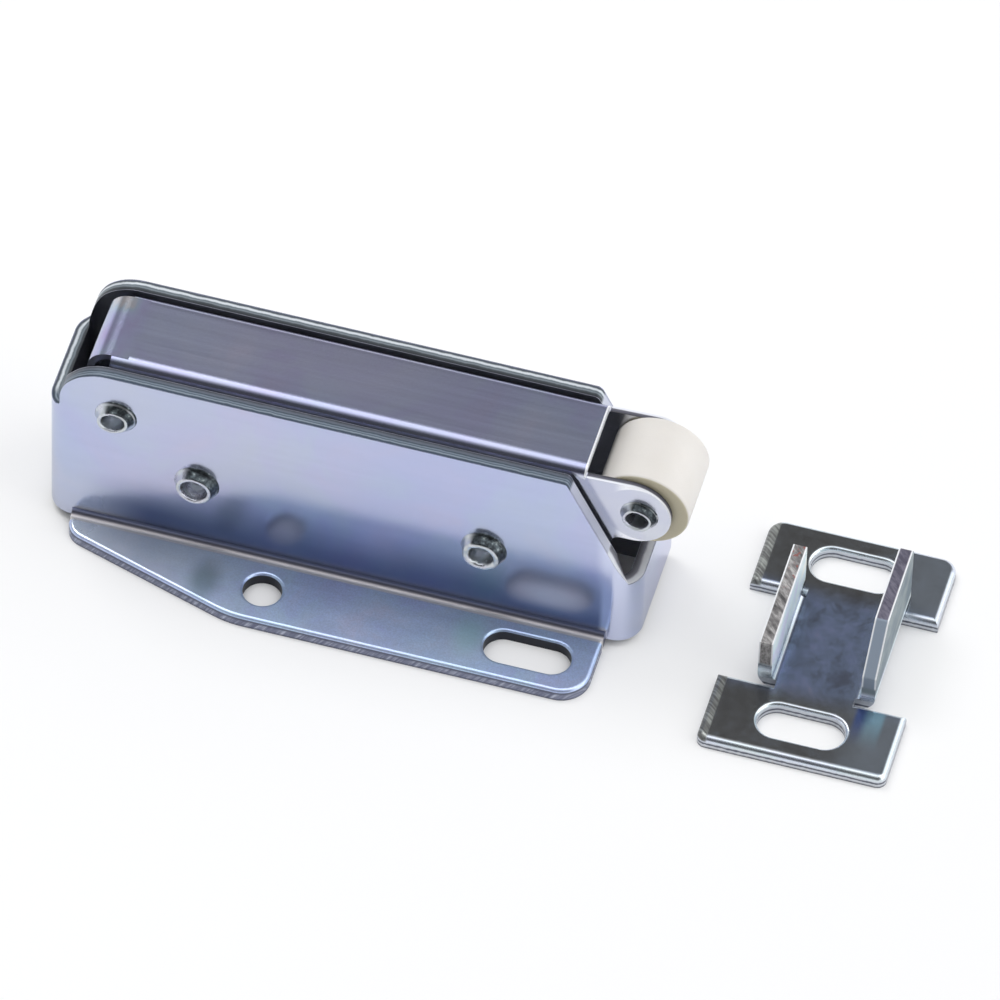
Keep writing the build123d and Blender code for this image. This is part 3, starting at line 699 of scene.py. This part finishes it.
def lugTopColour(graph, position, facing):
    x, y, z = graph.split(position)
    right = atRightLug(graph, x)
    fromLug = graph.blendValue(right, graph.minus(x, leftLug), graph.minus(x, rightLug))
    across = graph.math("DIVIDE", fromLug, keeperShape["lugSheet"])
    along = graph.plus(y, graph.times(x, keeperShape["tornLean"]))
    torn = graph.stretched(graph.join(along, x, z), keeperShape["tornStrokes"], 4.0, 0.7)
    rough = graph.stops(torn, [
        (0.34, (0.07, 0.068, 0.07)), (0.50, (0.22, 0.21, 0.21)), (0.66, (0.50, 0.49, 0.48)),
    ])
    rust = graph.noise(graph.vector("ADD", position, (0.4, 0.2, 0.1)), 1700.0, 2.0)
    farEnd = graph.ramp(y, *keeperShape["rustEnd"])
    rough = graph.mix(graph.times(graph.ramp(rust, 0.58, 0.66), farEnd), rough, rgb(0.27, 0.10, 0.09))
    smooth = graph.mix(graph.ramp(torn, 0.40, 0.65), rgb(0.08, 0.075, 0.11), rgb(0.17, 0.16, 0.21))
    # painted highlight where the right lug's top turns towards the front
    smooth = graph.mix(graph.ramp(facing[1], -0.20, -0.45), smooth, rgb(0.26, 0.31, 0.38))
    # painted highlight lines along both edges of each lug top
    edgeHighlight = graph.stops(across, [
        (0.00, (1, 1, 1)), (0.07, (1, 1, 1)), (0.13, (0, 0, 0)), (0.86, (0, 0, 0)), (0.92, (1, 1, 1)),
    ])
    return graph.mix(graph.split(edgeHighlight)[0], graph.mix(right, rough, smooth), rgb(0.85, 0.86, 0.88))


keeperZinc = {
    "tint": (0.78, 0.81, 0.86), "secondTint": (0.76, 0.82, 0.88),
    "cloudScale": 120.0, "rainbowShare": 0.18,
    "lineScale": (300.0, 300.0, 300.0), "lineShade": 0.12, "grainShade": 0.15,
    "roughness": 0.17, "roughClouds": 0.10, "metallic": 0.95, "tooth": 0.3,
    # painted shade on the flat tops, painted light on the lug faces, painted shade on the right lug's
    # outer side, painted highlights on the lug tops
    "patches": [
        {"mask": keeperFlatShade, "colour": keeperFlatShadeColour, "roughness": 0.22, "metallic": 0.92},
        {"mask": keeperDrag, "colour": keeperDragColour, "roughness": 0.4, "metallic": 0.6},
        {"mask": keeperCut, "colour": keeperCutColour, "roughness": 0.35, "metallic": 0.6},
        {"mask": lugFaceLit, "colour": lugFaceLitColour, "roughness": 0.45, "metallic": 0.0},
        {"mask": lugShadedSide, "colour": lugShadedSideColour, "roughness": 0.50, "metallic": 0.0, "sheen": 0.08},
        {"mask": lugTop, "colour": lugTopColour, "roughness": 0.6, "metallic": 0.3},
    ],
}

rolledNodes = ("pivot_rivet", "spring_rivet", "stop_rivet", "roller_pin")   # from rear to front


# Positive on the outside of a rolled end, negative inside its bore
def outward(graph, position, facing):
    x, y, z = graph.split(position)
    middles = [[(low + high) / 2 for low, high in zip(*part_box(nodeName))] for nodeName in rolledNodes]
    middleX, middleZ = middles[0][0], middles[0][2]
    for rear, front in zip(middles, middles[1:]):
        beyond = graph.math("GREATER_THAN", x, (rear[0] + front[0]) / 2)
        middleX = graph.blendValue(beyond, middleX, front[0])
        middleZ = graph.blendValue(beyond, middleZ, front[2])
    across = graph.times(graph.minus(x, middleX), facing[0])
    return graph.plus(across, graph.times(graph.minus(z, middleZ), facing[2]))


# Painted shade: the flanks of the rolled ends are painted dark on their upper, right-facing side
def rivetFlankShade(graph, position, facing):
    upper = graph.ramp(graph.math("MULTIPLY_ADD", facing[0], 0.90, facing[2]), 0.25, 0.60)
    flank = graph.ramp(graph.math("ABSOLUTE", facing[1]), 0.86, 0.66)
    near = graph.ramp(graph.split(position)[1], nearLow[1] + 0.0030, nearLow[1] + 0.0025)
    outside = graph.math("GREATER_THAN", outward(graph, position, facing), 0.0)
    return graph.times(upper, flank, near, outside)


def rivetFlankShadeColour(graph, position, facing):
    return graph.stops(graph.noise(position, 1600.0, 3.0), [
        (0.40, (0.03, 0.035, 0.04)), (0.60, (0.09, 0.11, 0.12)), (0.72, (0.32, 0.36, 0.36)),
    ])


rivetZinc = {
    "tint": (0.60, 0.62, 0.66), "secondTint": (0.64, 0.64, 0.64),
    "cloudScale": 300.0, "rainbowShare": 0.15,
    "lineScale": (900.0, 900.0, 900.0), "lineShade": 0.2, "grainShade": 0.15,
    "roughness": 0.20, "roughClouds": 0.12, "metallic": 0.92, "tooth": 0.4,
    "patches": [{"mask": rivetFlankShade, "colour": rivetFlankShadeColour, "roughness": 0.3, "metallic": 0.9}],
}
darkSteel = {
    "tint": (0.30, 0.31, 0.33), "secondTint": (0.24, 0.25, 0.28),
    "cloudScale": 200.0, "rainbowShare": 0.05,
    "lineScale": (900.0, 200.0, 900.0), "lineShade": 0.2, "grainShade": 0.15,
    "roughness": 0.28, "roughClouds": 0.12, "metallic": 0.95, "tooth": 0.3, "patches": [],
}
whiteNylon = {
    "tint": (0.73, 0.70, 0.66), "secondTint": (0.70, 0.67, 0.63), "endTint": (0.44, 0.39, 0.23),
    "endShare": 0.75, "cloudScale": 160.0, "grainScale": 3500.0, "tooth": 0.25, "toothDepth": 0.00003,
    "roughness": 0.42, "glow": 0.15, "glowDepth": (0.002, 0.0018, 0.0015), "glowScale": 0.5,
}


# Roller: warm white, its two ends darker and yellower
def nylon(name, look):
    material, graph, position, facing = newSurface(name)
    clouds = graph.noise(position, look["cloudScale"], 3.0)
    colour = graph.mix(graph.ramp(clouds, 0.3, 0.7), rgb(*look["tint"]), rgb(*look["secondTint"]))
    ends = graph.ramp(graph.math("ABSOLUTE", facing[1]), 0.6, 0.95)
    colour = graph.mix(graph.times(ends, look["endShare"]), colour, rgb(*look["endTint"]))
    grain = graph.noise(position, look["grainScale"], 2.0)
    closeSurface(graph, grain, look["tooth"], look["toothDepth"], {
        "Base Color": colour, "Roughness": look["roughness"], "Subsurface Weight": look["glow"],
        "Subsurface Radius": look["glowDepth"], "Subsurface Scale": look["glowScale"],
    })
    return material


finishes = {
    "case": zincPlate("caseZinc", caseZinc),
    "flange": zincPlate("flangeZinc", flangeZinc),
    "lever": zincPlate("leverZinc", leverZinc),
    "keeper": zincPlate("keeperZinc", keeperZinc),
    "rivet": zincPlate("rivetZinc", rivetZinc),
    "sleeve": zincPlate("sleeveSteel", darkSteel),
    "spring": zincPlate("springSteel", darkSteel),
    "nylon": nylon("rollerNylon", whiteNylon),
}
finishNodes = {
    "case": ("near_wall", "far_wall", "rear_wall", "front_wall"),
    "flange": ("flange",),
    "lever": ("lever",),
    "keeper": ("keeper",),
    "rivet": rolledNodes,
    "sleeve": ("pivot_sleeve", "spring_sleeve", "stop_sleeve"),
    "spring": ("torsion_spring",),
    "nylon": ("roller",),
}
for finishName, nodeNames in finishNodes.items():
    for nodeName in nodeNames:
        for slot in nodes[nodeName].material_slots:
            slot.material = finishes[finishName]
print("finishes set")


# Pieces grown by Geometry Nodes from a line of points
def newTree(name, sockets):
    tree = bpy.data.node_groups.new(name, "GeometryNodeTree")
    tree.interface.new_socket("Geometry", in_out="INPUT", socket_type="NodeSocketGeometry")
    for label, kind in sockets:
        tree.interface.new_socket(label, in_out="INPUT", socket_type=kind)
    tree.interface.new_socket("Geometry", in_out="OUTPUT", socket_type="NodeSocketGeometry")
    graph = NodeGraph(tree)
    return tree, graph, graph.add("NodeGroupInput").outputs


def closeTree(graph, geometry, finish):
    smooth = graph.add("GeometryNodeSetShadeSmooth", {"Geometry": geometry}).outputs[0]
    real = graph.add("GeometryNodeRealizeInstances", {"Geometry": smooth}).outputs[0]
    done = graph.add("GeometryNodeSetMaterial", {"Geometry": real, "Material": finish}).outputs[0]
    graph.add("NodeGroupOutput", {"Geometry": done})


# Turns the profile, (radius, height) points, into a round body whose rolled end is lobed and ragged
def rolledEndTree():
    tree, graph, given = newTree("rolledEnd", [
        ("Segments", "NodeSocketInt"), ("Lobes", "NodeSocketFloat"), ("Lobe Depth", "NodeSocketFloat"),
        ("Lobe Turn", "NodeSocketFloat"), ("Ragged", "NodeSocketFloat"), ("Seed", "NodeSocketFloat"),
        ("Lean", "NodeSocketVector"), ("Place", "NodeSocketVector"), ("Finish", "NodeSocketMaterial"),
    ])
    profile = given["Geometry"]
    size = graph.add("GeometryNodeAttributeDomainSize", {"Geometry": profile})
    count = size.outputs["Point Count"]
    columns = graph.plus(given["Segments"], 1.0)
    grid = graph.add("GeometryNodeMeshGrid", {
        "Size X": 1.0, "Size Y": 1.0, "Vertices X": count, "Vertices Y": columns,
    }).outputs["Mesh"]
    position = graph.add("GeometryNodeInputPosition").outputs[0]
    along, around, level = graph.split(position)
    row = graph.math("ROUND", graph.times(graph.plus(along, 0.5), graph.minus(count, 1.0)))
    angle = graph.times(graph.plus(around, 0.5), 2 * math.pi)

    def sample(kind, value):
        node = graph.add("GeometryNodeSampleIndex", {
            "Geometry": profile, "Value": value, "Index": row,
        }, data_type=kind)
        return node.outputs[0]

    point = graph.split(sample("FLOAT_VECTOR", position))
    rolled = graph.add("GeometryNodeInputNamedAttribute", {"Name": "roll"}, data_type="FLOAT")
    roll = sample("FLOAT", rolled.outputs["Attribute"])
    cosine, sine = graph.math("COSINE", angle), graph.math("SINE", angle)
    circle = graph.join(cosine, sine, graph.plus(given["Seed"], graph.times(point[2], 400.0)))
    wave = graph.math("SINE", graph.plus(graph.times(given["Lobes"], angle), given["Lobe Turn"]))
    rough = graph.minus(graph.noise(circle, 2.6, 3.0, 0.6), 0.5)
    lobed = graph.math("MULTIPLY_ADD", graph.times(wave, given["Lobe Depth"]), roll, 1.0)
    radius = graph.plus(graph.times(point[0], lobed), graph.times(rough, given["Ragged"], roll))
    lift = graph.minus(graph.noise(graph.vector("ADD", circle, (5, 3, 1)), 2.2, 3.0, 0.6), 0.5)
    height = graph.plus(point[2], graph.times(lift, given["Ragged"], roll))
    outwards = graph.times(height, -1.0)
    turned = graph.join(graph.times(radius, cosine), outwards, graph.times(radius, sine))
    turned = graph.vector("ADD", turned, graph.scaled(given["Lean"], roll))
    turned = graph.vector("ADD", turned, given["Place"])
    body = graph.add("GeometryNodeSetPosition", {"Geometry": grid, "Position": turned}).outputs[0]
    body = graph.add("GeometryNodeMergeByDistance", {"Geometry": body, "Distance": 1e-6}).outputs[0]
    closeTree(graph, body, given["Finish"])
    return tree


# Sweeps a round wire along the path
def wireTree():
    tree, graph, given = newTree("bentWire", [
        ("Wire Radius", "NodeSocketFloat"), ("Sides", "NodeSocketInt"),
        ("Finish", "NodeSocketMaterial"),
    ])
    path = graph.add("GeometryNodeMeshToCurve", {"Mesh": given["Geometry"]}).outputs[0]
    section = graph.add("GeometryNodeCurvePrimitiveCircle", {
        "Resolution": given["Sides"], "Radius": given["Wire Radius"],
    }).outputs["Curve"]
    wire = graph.add("GeometryNodeCurveToMesh", {
        "Curve": path, "Profile Curve": section, "Fill Caps": True,
    }).outputs[0]
    closeTree(graph, wire, given["Finish"])
    return tree


def grow(name, points, rolls, tree, settings):
    mesh = bpy.data.meshes.new(name)
    mesh.from_pydata(points, [(i, i + 1) for i in range(len(points) - 1)], [])
    if rolls:
        attribute = mesh.attributes.new("roll", "FLOAT", "POINT")
        attribute.data.foreach_set("value", rolls)
    piece = bpy.data.objects.new(name, mesh)
    bpy.context.scene.collection.objects.link(piece)
    modifier = piece.modifiers.new("grow", "NODES")
    modifier.node_group = tree
    for item in tree.interface.items_tree:
        if item.in_out == "INPUT" and item.name in settings:
            modifier[item.identifier] = settings[item.name]
    evaluated = piece.evaluated_get(bpy.context.evaluated_depsgraph_get())
    grown = bpy.data.meshes.new_from_object(evaluated)
    piece.modifiers.clear()
    piece.data = grown
    faces = bmesh.new()
    faces.from_mesh(grown)
    bmesh.ops.recalc_face_normals(faces, faces=faces.faces)
    faces.to_mesh(grown)
    faces.free()
    grown.set_sharp_from_angle(angle=math.radians(50))
    return piece


# Rolled rivets and pin: radii and heights in mm, and how much a point follows the lobes, 0 to 1.
# Heights run outwards from the near wall's outer face, and for the pin from its middle.
rolledShape = {
    "head": [
        (0, -19.9), (1.2, -19.84), (2.2, -19.66), (3.0, -19.38), (3.7, -19.05), (4.15, -18.82),
        (4.3, -18.68), (4.3, -18.4),
    ],
    "shank": 2.5,
    "pinShank": 2.2,
    "foot": 0.12,
    "pinFoot": 0.05,
    "lipSteps": 6,
    "segments": 72,
}
rivets = {
    "pivot_rivet": {
        "bore": 1.65, "crest": 2.2, "base": 3.0, "stand": 1.1, "lobes": 2.0, "depth": 0.06,
        "turn": 0.6, "ragged": 0.22, "seed": 1.7, "lean": (-0.2, 0, -0.12),
    },
    "spring_rivet": {
        "bore": 1.9, "crest": 2.6, "base": 3.25, "stand": 1.25, "lobes": 3.0, "depth": 0.008,
        "turn": 0.3, "ragged": 0.12, "seed": 4.2, "lean": (-0.1, 0, -0.1),
    },
    "stop_rivet": {
        "bore": 1.75, "crest": 2.75, "base": 3.3, "stand": 1.15, "lobes": 3.0, "depth": 0.02,
        "turn": 1.9, "ragged": 0.34, "seed": 8.9, "lean": (-0.1, 0, -0.15),
    },
}
rollerPin = {
    "bore": 1.6, "crest": 2.1, "base": 2.7, "stand": 0.95, "half": 6.7, "lobes": 4.0, "depth": 0.02,
    "turn": 0.5, "ragged": 0.12, "seed": 12.4, "lean": (-0.08, 0, -0.05),
}


# From the foot up to the lip, then over the lip into the bore
def flankAndLip(size, base, foot, start):
    crest, stand, steps = size["crest"], size["stand"], rolledShape["lipSteps"]
    lip = (crest - size["bore"]) / 2
    points = []
    for step in range(1, steps):
        part = step / steps
        radius = base + (crest - base) * part ** 0.75
        points.append((radius, start + foot + (stand - foot) * part ** 1.15, 0.3 + 0.6 * part))
    for step in range(steps + 1):
        turn = math.pi * step / steps
        radius = size["bore"] + lip + lip * math.cos(turn)
        points.append((radius, start + stand + lip * 0.9 * math.sin(turn), 1.0))
    return points


def rivetProfile(size):
    bore, base, stand, shank = size["bore"], size["base"], size["stand"], rolledShape["shank"]
    head = [(radius, height, 0) for radius, height in rolledShape["head"]]
    body = [
        (shank, head[-1][1], 0), (shank, 0, 0), (base, 0, 0.1), (base - 0.03, rolledShape["foot"], 0.2),
    ]
    inside = [
        (bore - 0.06, stand - 0.4, 0.9), (bore - 0.02, 0, 0.4), (bore, -0.8, 0), (bore * 0.8, -1.3, 0),
        (0, -1.4, 0),
    ]
    return head + body + flankAndLip(size, base - 0.03, rolledShape["foot"], 0) + inside


def pinProfile(size):
    bore, base, half, foot = size["bore"], size["base"], size["half"], rolledShape["pinFoot"]
    side = [(bore, 0, 0), (bore, half - 1, 0.1), (bore - 0.03, half + size["stand"] - 0.3, 0.9)]
    side += reversed(flankAndLip(size, base, foot, half))
    side += [(base, half + foot, 0.2), (base, half, 0.1)]
    side += [(rolledShape["pinShank"], half, 0), (rolledShape["pinShank"], 0, 0)]
    other = [(radius, -height, roll) for radius, height, roll in reversed(side[1:-1])]
    return side + other + [side[0]]


def makeRolled(nodeName, profile, size, tree, face, body):
    low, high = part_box(nodeName)
    points = [(radius / 1000, 0, height / 1000) for radius, height, roll in profile]
    piece = grow(nodeName + "_rolled", points, [roll for radius, height, roll in profile], tree, {
        "Segments": rolledShape["segments"], "Lobes": size["lobes"], "Lobe Depth": size["depth"],
        "Lobe Turn": size["turn"], "Ragged": size["ragged"] / 1000, "Seed": size["seed"],
        "Lean": tuple(value / 1000 for value in size["lean"]),
        "Place": ((low[0] + high[0]) / 2, face, (low[2] + high[2]) / 2), "Finish": finishes["rivet"],
    })
    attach(piece, body)
    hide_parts(nodeName)


rolledEnd = rolledEndTree()
for rivetName, rivetSize in rivets.items():
    makeRolled(rivetName, rivetProfile(rivetSize), rivetSize, rolledEnd, nearLow[1], "case")
makeRolled("roller_pin", pinProfile(rollerPin), rollerPin, rolledEnd, pinMiddle[1], "lever")
print("rivets rolled")

# Torsion spring, coiled round the middle rivet's sleeve
spring = {
    "wireRadius": 0.0007,
    "coilRadius": 0.0043,
    "pitch": 0.00146,
    "stepsPerTurn": 40,
    "sides": 16,
    "lowerRun": 0.0461,        # from the coil to the lower leg's end
    "lowerParts": (1.0, 0.75, 0.5, 0.25),
    "restGap": 0.00015,        # between the lower leg and the stop's sleeve
    "upperParts": (0.3, 0.6, 0.9),
    "upperCorner": 0.0127,     # where the upper leg turns level
    "upperBend": (0.0012, 0.00022, 0.0008),   # behind and below the corner, and ahead of it
    "upperFlat": 0.0060,
    "bendStart": (0.0, 0.015, 0.0212),   # lower end of the bend zone
    "bendEnd": (0.0, 0.015, 0.0315),     # upper end of the bend zone
}


# Tilt of the line from the coil that touches it and passes through the place aimed at
def legTilt(size, middle, aim, side):
    reachX, reachZ = aim[0] - middle[0], aim[1] - middle[1]
    lean = math.asin(size["coilRadius"] / math.hypot(reachX, reachZ))
    return math.atan2(reachZ, reachX) + side * lean


def springPoints(size):
    low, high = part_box("torsion_spring")
    sleeveLow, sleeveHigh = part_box("spring_sleeve")
    stopLow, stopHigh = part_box("stop_sleeve")
    wire, coil = size["wireRadius"], size["coilRadius"]
    x, z = (sleeveLow[0] + sleeveHigh[0]) / 2, (sleeveLow[2] + sleeveHigh[2]) / 2
    nearY, farY = low[1] + wire, high[1] - wire
    upX, upZ = size["upperCorner"], high[2] - wire
    rest = ((stopLow[0] + stopHigh[0]) / 2, stopHigh[2] + size["restGap"] + wire)
    lowerTilt = legTilt(size, (x, z), rest, 1)
    upperTilt = legTilt(size, (x, z), (upX, upZ), -1)
    startAngle = lowerTilt - math.pi / 2
    startX, startZ = x + coil * math.cos(startAngle), z + coil * math.sin(startAngle)
    points = []
    for part in size["lowerParts"]:
        run = size["lowerRun"] * part
        points.append((startX + run * math.cos(lowerTilt), nearY, startZ + run * math.sin(lowerTilt)))
    turns = math.ceil((farY - nearY) / size["pitch"])
    sweep = -(2 * math.pi * turns - (upperTilt + math.pi / 2 - startAngle))
    steps = size["stepsPerTurn"] * turns
    for step in range(steps + 1):
        angle = startAngle + sweep * step / steps
        y = nearY + (farY - nearY) * step / steps
        points.append((x + coil * math.cos(angle), y, z + coil * math.sin(angle)))
    endX, endY, endZ = points[-1]
    for part in size["upperParts"]:
        points.append((endX + (upX - endX) * part, endY, endZ + (upZ - endZ) * part))
    behind, below, ahead = size["upperBend"]
    points.append((upX - behind, endY, upZ - below))
    points.append((upX + ahead, endY, upZ))
    points.append((upX + size["upperFlat"], endY, upZ))
    return points


springPiece = grow("torsion_spring_wire", springPoints(spring), None, wireTree(), {
    "Wire Radius": spring["wireRadius"], "Sides": spring["sides"], "Finish": finishes["spring"],
})
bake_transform(springPiece)
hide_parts("torsion_spring")
print("spring wound")

# Floor, light and surroundings
studio = {
    "floorSize": 6.0,
    "floorColour": (0.90, 0.90, 0.90),
    "floorWhite": 0.46,        # share of plain white that the camera sees in the floor
    "shadeReach": 0.007,       # no white where the floor is closed in nearer than this
    "shadeOpen": (0.25, 0.85),
    "underCaseShade": (0.8, 0.2),   # nor inside the case: painted shade on the floor there
    "surround": 0.34,          # plain level of the room
    "surroundColour": (0.97, 0.98, 1.0),
    # direction, inner and outer cosine, added level
    "glows": [
        ((0.0, -0.16, 1.0), 0.92, 0.80, 1.7),
        ((0.80, 0.10, 0.45), 0.92, 0.72, 1.5),
    ],
    "horizon": (0.35, 0.10),
    "horizonLevel": 0.8,
    "darkSide": (0.12, -0.80, 0.64),   # towards the dark side of the room
    "darkCone": (0.70, 0.92),
    "darkShare": 0.80,
}
keyLamp = {"place": (-0.60, 0.40, 1.10), "aim": (0.02, 0.0, 0.0), "size": 0.6, "power": 5.5}


def makeFloor():
    mesh = bpy.data.meshes.new("floor")
    half = studio["floorSize"] / 2
    corners = [(-half, -half, 0), (half, -half, 0), (half, half, 0), (-half, half, 0)]
    mesh.from_pydata(corners, [], [(0, 1, 2, 3)])
    floor = bpy.data.objects.new("floor", mesh)
    bpy.context.scene.collection.objects.link(floor)
    material, graph = newMaterial("paperFloor")
    seen = graph.add("ShaderNodeLightPath").outputs["Is Camera Ray"]
    diffuse = graph.add("ShaderNodeBsdfDiffuse", {"Color": rgb(*studio["floorColour"])})
    glow = graph.add("ShaderNodeEmission", {"Color": rgb(1, 1, 1), "Strength": 1.0})
    opening = graph.add("ShaderNodeAmbientOcclusion", {"Distance": studio["shadeReach"]}, samples=8)
    white = graph.ramp(opening.outputs["AO"], *studio["shadeOpen"], 0.0, studio["floorWhite"])
    position = graph.add("ShaderNodeTexCoord").outputs["Object"]
    # painted shade: no white on the floor inside the case
    beside = graph.ramp(sheetDepth(graph, position), *studio["underCaseShade"])
    both = graph.add("ShaderNodeMixShader", {
        0: graph.times(seen, white, beside), 1: diffuse.outputs[0], 2: glow.outputs[0],
    })
    graph.add("ShaderNodeOutputMaterial", {"Surface": both.outputs[0]})
    mesh.materials.append(material)


def makeWorld():
    world = bpy.data.worlds.new("studio")
    bpy.context.scene.world = world
    world.use_nodes = True
    graph = NodeGraph(world.node_tree)
    direction = graph.add("ShaderNodeTexCoord").outputs["Generated"]

    def towards(aim):
        return graph.vector("DOT_PRODUCT", direction, tuple(Vector(aim).normalized()), "Value")

    horizon = graph.ramp(graph.split(direction)[2], *studio["horizon"], 0.0, studio["horizonLevel"])
    level = graph.plus(studio["surround"], horizon)
    for aim, inner, outer, strength in studio["glows"]:
        level = graph.plus(level, graph.ramp(towards(aim), outer, inner, 0.0, strength))
    dark = graph.ramp(towards(studio["darkSide"]), *studio["darkCone"], 1.0, 1.0 - studio["darkShare"])
    level = graph.times(level, dark)
    seen = graph.add("ShaderNodeLightPath").outputs["Is Camera Ray"]
    backdrop = graph.add("ShaderNodeBackground", {"Color": rgb(1, 1, 1), "Strength": 1.0})
    around = graph.add("ShaderNodeBackground", {
        "Color": rgb(*studio["surroundColour"]), "Strength": level,
    })
    both = graph.add("ShaderNodeMixShader", {0: seen, 1: around.outputs[0], 2: backdrop.outputs[0]})
    graph.add("ShaderNodeOutputWorld", {"Surface": both.outputs[0]})


def makeLamp(name, lamp):
    data = bpy.data.lights.new(name, "AREA")
    data.shape = "DISK"
    data.size = lamp["size"]
    data.energy = lamp["power"]
    light = bpy.data.objects.new(name, data)
    direction = Vector(lamp["aim"]) - Vector(lamp["place"])
    turn = direction.to_track_quat("-Z", "Y").to_matrix().to_4x4()
    light.matrix_world = Matrix.Translation(lamp["place"]) @ turn
    bpy.context.scene.collection.objects.link(light)


makeFloor()
makeWorld()
makeLamp("key", keyLamp)
print("studio lit")
